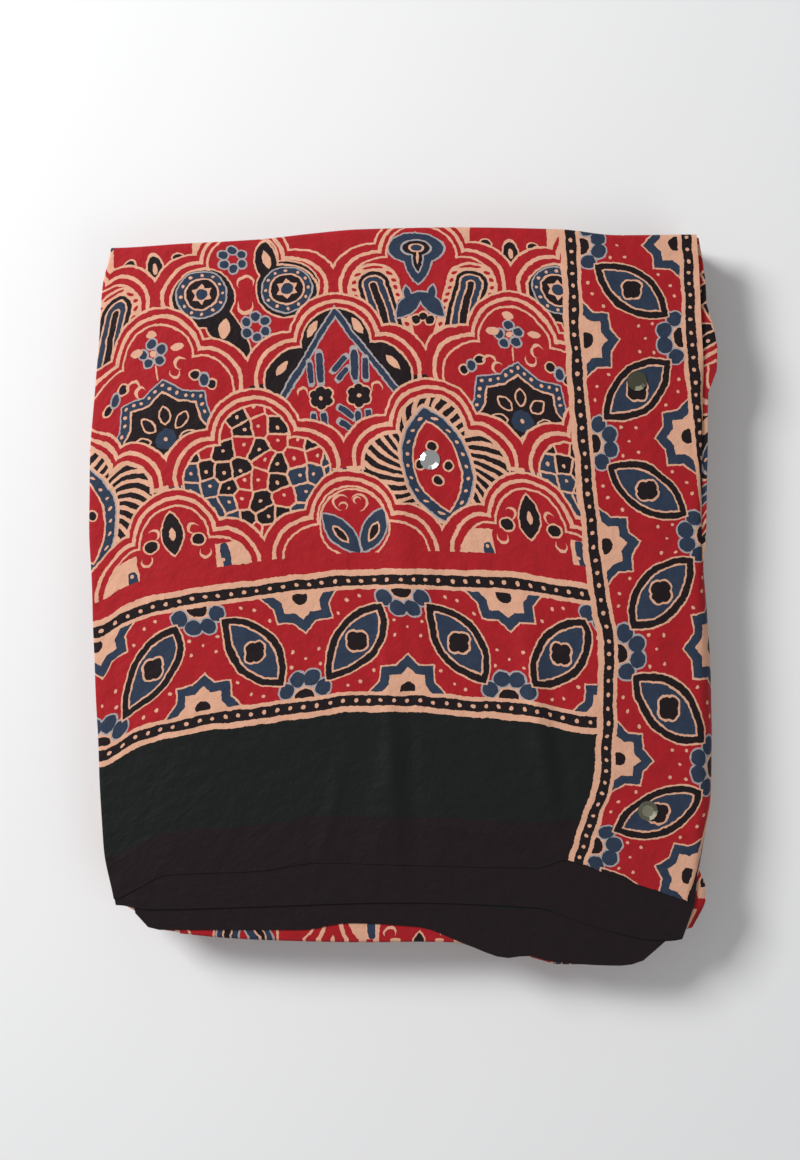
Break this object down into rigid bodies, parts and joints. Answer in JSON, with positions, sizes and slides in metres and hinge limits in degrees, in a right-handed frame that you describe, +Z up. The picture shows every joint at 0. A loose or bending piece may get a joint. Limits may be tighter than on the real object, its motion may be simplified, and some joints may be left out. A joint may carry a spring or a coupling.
{
  "type": "folded ajrakh cloth with sewn mirrors",
  "caption": "Block-printed ajrakh cloth folded into a soft flat packet, with borders, a dark plain end and small round mirrors sewn to its face.",
  "frame": {"origin": "on the surface that the packet lies on, under the middle of its box", "axes": "+Z up through the packet, +Y along its length from the cloth's free end to the far folds, +X to the right with the vertical border on that side"},
  "size_m": [0.294, 0.3458, 0.0317],
  "materials": {
    "printed_cloth": "soft matt, block printed",
    "mirror_glass": "polished, facetted"
  },
  "bodies": {
    "root": {"cloth": "printed_cloth", "mirror_field": "mirror_glass", "mirror_border_far": "mirror_glass", "mirror_border_near": "mirror_glass"}
  },
  "joints": []
}
